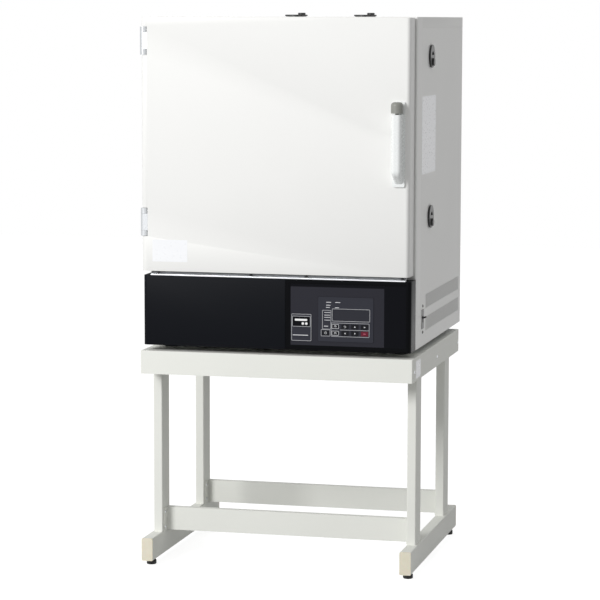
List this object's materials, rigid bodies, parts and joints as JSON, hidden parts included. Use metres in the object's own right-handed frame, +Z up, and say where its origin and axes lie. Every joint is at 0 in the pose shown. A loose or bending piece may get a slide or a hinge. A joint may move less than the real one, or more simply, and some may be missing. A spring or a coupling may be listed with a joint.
{
  "type": "forced-air drying oven on a stand",
  "caption": "Free-standing laboratory drying oven with a hinged door, wire shelves, a fan behind a duct plate, turning exhaust caps and a keypad, on a steel tube stand.",
  "frame": {"origin": "on the floor under the middle of the oven's overall box", "axes": "+Z up, the door faces -Y, +X to the right seen from the front"},
  "size_m": [0.73, 0.8157, 1.4508],
  "materials": {
    "casing_enamel": "satin",
    "stand_enamel": "satin",
    "stainless": "satin",
    "zinc_plated": "satin",
    "bezel_black": "satin",
    "panel_black": "satin",
    "key_plastic": "matte",
    "key_red": "matte",
    "damper_black": "satin",
    "strip_aluminium": "satin",
    "window_acrylic": "gloss",
    "mineral_wool": "matte",
    "silicone": "matte",
    "foot_rubber": "matte",
    "cap_plastic": "matte",
    "handle_plastic": "satin",
    "button_grey": "satin",
    "board_laminate": "satin",
    "motor_enamel": "satin",
    "heater_sheath": "matte"
  },
  "bodies": {
    "root": {"stand_tray": "stand_enamel", "stand_top_rails": "stand_enamel", "stand_legs": "stand_enamel", "stand_foot_rails": "stand_enamel", "stand_rail_caps": "cap_plastic", "stand_cross_rails": "stand_enamel", "oven_feet": "foot_rubber", "front_frame": "casing_enamel", "side_panel_left": "casing_enamel", "side_panel_right": "casing_enamel", "top_cover": "casing_enamel", "rear_panel": "zinc_plated", "base_pan": "zinc_plated", "inner_chassis": "zinc_plated", "chamber_liner": "stainless", "chamber_insulation": "mineral_wool", "port_sleeves": "damper_black", "fan_motor": "motor_enamel", "motor_cover": "zinc_plated", "heater_element": "heater_sheath", "temperature_probes": "stainless", "fan_duct_plate": "stainless", "shelf_uprights": "stainless", "shelf_clips": "stainless", "wire_shelves": "stainless", "hinge_brackets": "casing_enamel", "control_bezel": "bezel_black", "control_panel_plate": "panel_black", "display_window": "window_acrylic", "control_board": "board_laminate", "bezel_trim_strip": "strip_aluminium", "breaker_body": "bezel_black", "cord_gland": "bezel_black", "screws": "zinc_plated"},
    "door": {"door_shell": "casing_enamel", "door_inner_panel": "stainless", "door_insulation": "mineral_wool", "door_gasket": "silicone", "door_hinge_leaves": "casing_enamel", "door_handle": "handle_plastic"},
    "handle_button": {"handle_button": "button_grey"},
    "fan": {"fan_impeller": "stainless"},
    "breaker_lever": {"breaker_lever": "key_plastic"},
    "damper_side_upper": {"damper_cap_side_upper": "damper_black"},
    "damper_side_lower": {"damper_cap_side_lower": "damper_black"},
    "damper_top_left": {"damper_cap_top_left": "damper_black"},
    "damper_top_right": {"damper_cap_top_right": "damper_black"},
    "key_mode": {"key_mode": "key_plastic"},
    "key_back": {"key_back": "key_plastic"},
    "key_up": {"key_up": "key_plastic"},
    "key_right": {"key_right": "key_plastic"},
    "key_power": {"key_power": "key_plastic"},
    "key_menu": {"key_menu": "key_plastic"},
    "key_left": {"key_left": "key_plastic"},
    "key_down": {"key_down": "key_plastic"},
    "key_enter": {"key_enter": "key_red"},
    "foot_front_left": {"levelling_foot_front_left": "foot_rubber"},
    "foot_front_right": {"levelling_foot_front_right": "foot_rubber"},
    "foot_rear_left": {"levelling_foot_rear_left": "foot_rubber"},
    "foot_rear_right": {"levelling_foot_rear_right": "foot_rubber"}
  },
  "joints": [
    {"name": "door_hinge", "type": "hinge", "parent": "root", "child": "door", "pos_m": [-0.353, -0.3541, 1.144], "axis": [0, 0, -1], "range_deg": [0, 120]},
    {"name": "handle_button_press", "type": "slide", "parent": "door", "child": "handle_button", "axis": [0, 0, -1], "range_m": [0, 0.003], "stiffness_N_per_m": 300, "springref_m": -0.004},
    {"name": "fan_spin", "type": "hinge", "parent": "root", "child": "fan", "pos_m": [0, 0.2271, 1.111], "axis": [0, 1, 0], "continuous": true},
    {"name": "breaker_toggle", "type": "hinge", "parent": "root", "child": "breaker_lever", "pos_m": [0.346, -0.2061, 0.6596], "axis": [0, 1, 0], "range_deg": [0, 36]},
    {"name": "damper_side_upper_turn", "type": "hinge", "parent": "root", "child": "damper_side_upper", "pos_m": [0.355, -0.1201, 1.339], "axis": [1, 0, 0], "range_deg": [0, 180]},
    {"name": "damper_side_lower_turn", "type": "hinge", "parent": "root", "child": "damper_side_lower", "pos_m": [0.355, -0.1201, 0.921], "axis": [1, 0, 0], "range_deg": [0, 180]},
    {"name": "damper_top_left_turn", "type": "hinge", "parent": "root", "child": "damper_top_left", "pos_m": [-0.0234, -0.0501, 1.44], "axis": [0, 0, 1], "range_deg": [0, 180]},
    {"name": "damper_top_right_turn", "type": "hinge", "parent": "root", "child": "damper_top_right", "pos_m": [0.1645, -0.0501, 1.44], "axis": [0, 0, 1], "range_deg": [0, 180]},
    {"name": "key_mode_press", "type": "slide", "parent": "root", "child": "key_mode", "axis": [0, 1, 0], "range_m": [0, 0.0005], "stiffness_N_per_m": 300, "springref_m": -0.002},
    {"name": "key_back_press", "type": "slide", "parent": "root", "child": "key_back", "axis": [0, 1, 0], "range_m": [0, 0.0005], "stiffness_N_per_m": 300, "springref_m": -0.002},
    {"name": "key_up_press", "type": "slide", "parent": "root", "child": "key_up", "axis": [0, 1, 0], "range_m": [0, 0.0005], "stiffness_N_per_m": 300, "springref_m": -0.002},
    {"name": "key_right_press", "type": "slide", "parent": "root", "child": "key_right", "axis": [0, 1, 0], "range_m": [0, 0.0005], "stiffness_N_per_m": 300, "springref_m": -0.002},
    {"name": "key_power_press", "type": "slide", "parent": "root", "child": "key_power", "axis": [0, 1, 0], "range_m": [0, 0.0005], "stiffness_N_per_m": 300, "springref_m": -0.002},
    {"name": "key_menu_press", "type": "slide", "parent": "root", "child": "key_menu", "axis": [0, 1, 0], "range_m": [0, 0.0005], "stiffness_N_per_m": 300, "springref_m": -0.002},
    {"name": "key_left_press", "type": "slide", "parent": "root", "child": "key_left", "axis": [0, 1, 0], "range_m": [0, 0.0005], "stiffness_N_per_m": 300, "springref_m": -0.002},
    {"name": "key_down_press", "type": "slide", "parent": "root", "child": "key_down", "axis": [0, 1, 0], "range_m": [0, 0.0005], "stiffness_N_per_m": 300, "springref_m": -0.002},
    {"name": "key_enter_press", "type": "slide", "parent": "root", "child": "key_enter", "axis": [0, 1, 0], "range_m": [0, 0.0005], "stiffness_N_per_m": 300, "springref_m": -0.002},
    {"name": "foot_front_left_turn", "type": "hinge", "parent": "root", "child": "foot_front_left", "pos_m": [-0.346, -0.3301, 0], "axis": [0, 0, 1], "continuous": true},
    {"name": "foot_front_right_turn", "type": "hinge", "parent": "root", "child": "foot_front_right", "pos_m": [0.346, -0.3301, 0], "axis": [0, 0, 1], "continuous": true},
    {"name": "foot_rear_left_turn", "type": "hinge", "parent": "root", "child": "foot_rear_left", "pos_m": [-0.346, 0.2393, 0], "axis": [0, 0, 1], "continuous": true},
    {"name": "foot_rear_right_turn", "type": "hinge", "parent": "root", "child": "foot_rear_right", "pos_m": [0.346, 0.2393, 0], "axis": [0, 0, 1], "continuous": true}
  ]
}
